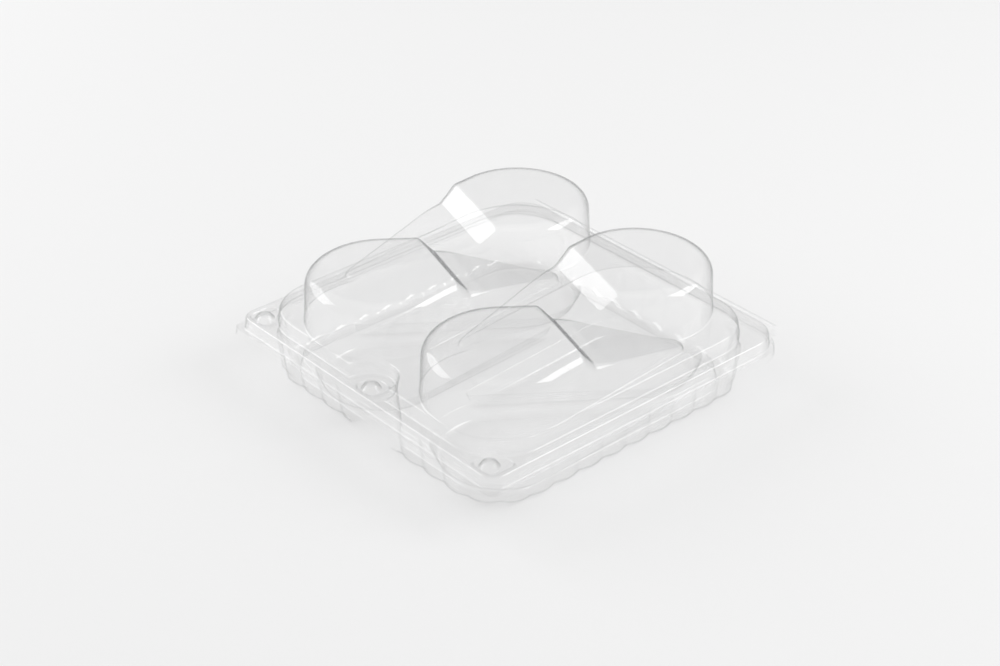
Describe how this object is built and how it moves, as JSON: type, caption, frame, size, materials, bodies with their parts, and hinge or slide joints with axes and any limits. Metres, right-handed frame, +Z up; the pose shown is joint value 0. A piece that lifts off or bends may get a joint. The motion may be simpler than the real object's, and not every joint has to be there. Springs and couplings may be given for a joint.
{
  "type": "fruit clamshell container",
  "caption": "Clear hinged clamshell pack with domed cells that taper to tails, a fluted tray, press buttons and a thumb notch.",
  "frame": {"origin": "on the table under the middle of the closed pack", "axes": "+Z up, +Y towards the hinge, +X to the right seen from the opening side"},
  "size_m": [0.2484, 0.2484, 0.0783],
  "materials": {
    "clear_base": "clear glossy thermoformed sheet",
    "clear_lid": "clear glossy thermoformed sheet"
  },
  "bodies": {
    "base": {"base_tray": "clear_base"},
    "lid": {"lid": "clear_lid"}
  },
  "joints": [
    {"name": "lid_hinge", "type": "hinge", "parent": "base", "child": "lid", "pos_m": [0, 0.1239, 0.02745], "axis": [-1, 0, 0], "range_deg": [0, 150]}
  ]
}
